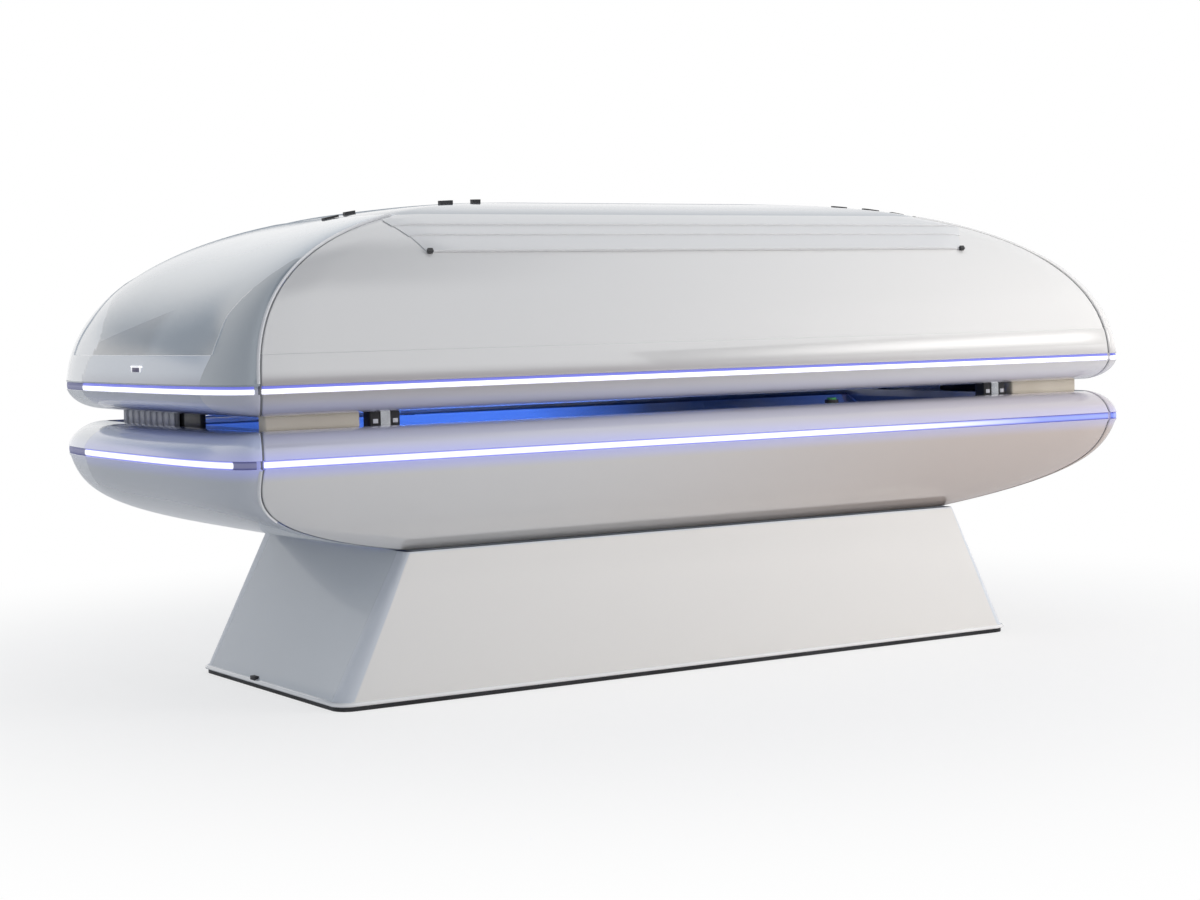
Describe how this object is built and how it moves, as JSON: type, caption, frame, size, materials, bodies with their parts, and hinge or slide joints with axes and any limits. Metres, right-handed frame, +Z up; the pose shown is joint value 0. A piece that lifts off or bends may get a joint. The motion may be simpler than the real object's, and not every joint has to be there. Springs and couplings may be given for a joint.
{
  "type": "led light therapy bed",
  "caption": "Lie-down light therapy bed: pedestal, trough-shaped bed and hinged clamshell canopy with glow strips and LED boards.",
  "frame": {"origin": "on the floor under the middle of the pedestal", "axes": "+X along the length of the bed, +Y towards the hinge side at the rear, +Z up"},
  "size_m": [2.152, 0.902, 0.946],
  "materials": {
    "shell_white": "high gloss moulded shell",
    "shell_cap": "high gloss pearl blue-grey shell",
    "pedestal_white": "satin powder coat",
    "pedestal_end": "satin powder coat",
    "plinth_dark": "dark plinth strip",
    "frame_steel": "painted tube",
    "glow_diffuser": "opal diffuser",
    "aluminium": "satin",
    "clear_acrylic": "clear polished sheet",
    "lamp_tray": "reflector sheet",
    "led_board": "white circuit board",
    "inner_white": "white",
    "black_plastic": "matt black",
    "black_rubber": "rubber",
    "gasket": "soft grey",
    "cream_bar": "cream",
    "cover_grey": "light grey ribbed",
    "bright_steel": "brushed",
    "chrome_rod": "polished",
    "strut_black": "gloss black",
    "switch_red": "gloss",
    "button_green": "gloss"
  },
  "bodies": {
    "base": {"plinth": "plinth_dark", "pedestal_frame": "frame_steel", "pedestal_front_panel": "pedestal_white", "pedestal_rear_panel": "pedestal_white", "pedestal_left_end": "pedestal_end", "pedestal_right_end": "pedestal_end", "pedestal_top_plate": "frame_steel", "service_hatch": "pedestal_white", "hatch_screws": "bright_steel", "mains_inlet": "black_plastic", "power_supplies": "aluminium", "control_box": "frame_steel", "bed_pan": "frame_steel", "bed_frame": "frame_steel", "bed_front_panel": "shell_white", "bed_rear_panel": "shell_white", "bed_left_cap": "shell_cap", "bed_right_cap": "shell_cap", "bed_seam_gaskets": "gasket", "bed_glow_strips": "glow_diffuser", "bed_sill": "aluminium", "bed_acrylic": "clear_acrylic", "bed_lamp_tray": "lamp_tray", "bed_led_boards": "led_board", "bed_end_walls": "inner_white", "bed_fan_frames": "black_plastic", "rest_bars": "cream_bar", "stop_blocks": "black_rubber", "stop_plates": "bright_steel", "gap_covers": "cover_grey", "button_bezel": "bright_steel", "hinge_lower_leaves": "bright_steel", "hinge_pins": "bright_steel", "bed_hinge_screws": "bright_steel"},
    "canopy": {"canopy_frame": "frame_steel", "canopy_front_panel": "shell_white", "canopy_rear_panel": "shell_white", "canopy_left_cap": "shell_cap", "canopy_right_cap": "shell_cap", "canopy_spine": "shell_cap", "canopy_seam_gaskets": "gasket", "canopy_louvre": "shell_white", "canopy_glow_strips": "glow_diffuser", "canopy_sill": "aluminium", "canopy_acrylic": "clear_acrylic", "canopy_lamp_tray": "lamp_tray", "canopy_led_boards": "led_board", "canopy_end_walls": "inner_white", "canopy_fan_frames": "black_plastic", "hinge_upper_leaves": "bright_steel"},
    "switch": {"mains_rocker": "switch_red"},
    "button": {"start_button": "button_green"},
    "bed_fan_left": {"bed_fan_rotor_left": "black_plastic"},
    "bed_fan_right": {"bed_fan_rotor_right": "black_plastic"},
    "strut_left": {"strut_cylinder_left": "strut_black"},
    "strut_right": {"strut_cylinder_right": "strut_black"},
    "rod_left": {"strut_rod_left": "chrome_rod"},
    "rod_right": {"strut_rod_right": "chrome_rod"},
    "canopy_fan_left": {"canopy_fan_rotor_left": "black_plastic"},
    "canopy_fan_right": {"canopy_fan_rotor_right": "black_plastic"}
  },
  "joints": [
    {"name": "canopy_lift", "type": "hinge", "parent": "base", "child": "canopy", "pos_m": [0, 0.415, 0.5375], "axis": [-1, 0, 0], "range_deg": [0, 50]},
    {"name": "strut_tilt_left", "type": "hinge", "parent": "base", "child": "strut_left", "pos_m": [-0.94, 0.15, 0.405], "axis": [-1, 0, 0], "range_deg": [0, 4.3]},
    {"name": "strut_slide_left", "type": "slide", "parent": "strut_left", "child": "rod_left", "axis": [0, 0.6727, 0.7399], "range_m": [0, 0.089]},
    {"name": "bed_fan_spin_left", "type": "hinge", "parent": "base", "child": "bed_fan_left", "pos_m": [-0.3, 0, 0.304], "axis": [0, 0, 1], "continuous": true},
    {"name": "canopy_fan_spin_left", "type": "hinge", "parent": "canopy", "child": "canopy_fan_left", "pos_m": [-0.3, 0, 0.905], "axis": [0, 0, 1], "continuous": true},
    {"name": "strut_tilt_right", "type": "hinge", "parent": "base", "child": "strut_right", "pos_m": [0.94, 0.15, 0.405], "axis": [-1, 0, 0], "range_deg": [0, 4.3]},
    {"name": "strut_slide_right", "type": "slide", "parent": "strut_right", "child": "rod_right", "axis": [0, 0.6727, 0.7399], "range_m": [0, 0.089]},
    {"name": "bed_fan_spin_right", "type": "hinge", "parent": "base", "child": "bed_fan_right", "pos_m": [0.3, 0, 0.304], "axis": [0, 0, 1], "continuous": true},
    {"name": "canopy_fan_spin_right", "type": "hinge", "parent": "canopy", "child": "canopy_fan_right", "pos_m": [0.3, 0, 0.905], "axis": [0, 0, 1], "continuous": true},
    {"name": "start_press", "type": "slide", "parent": "base", "child": "button", "axis": [0, 0, -1], "range_m": [0, 0.002], "stiffness_N_per_m": 600, "springref_m": -0.001},
    {"name": "mains_rock", "type": "hinge", "parent": "base", "child": "switch", "pos_m": [-0.41, 0.3155, 0.13], "axis": [-1, 0, 0], "range_deg": [0, 8]}
  ],
  "couplings": [
    {"joint": "strut_tilt_left", "follows": "canopy_lift", "ratio": 0.084962},
    {"joint": "strut_slide_left", "follows": "canopy_lift", "m_per_rad": 0.10159},
    {"joint": "strut_tilt_right", "follows": "canopy_lift", "ratio": 0.084962},
    {"joint": "strut_slide_right", "follows": "canopy_lift", "m_per_rad": 0.10159}
  ]
}
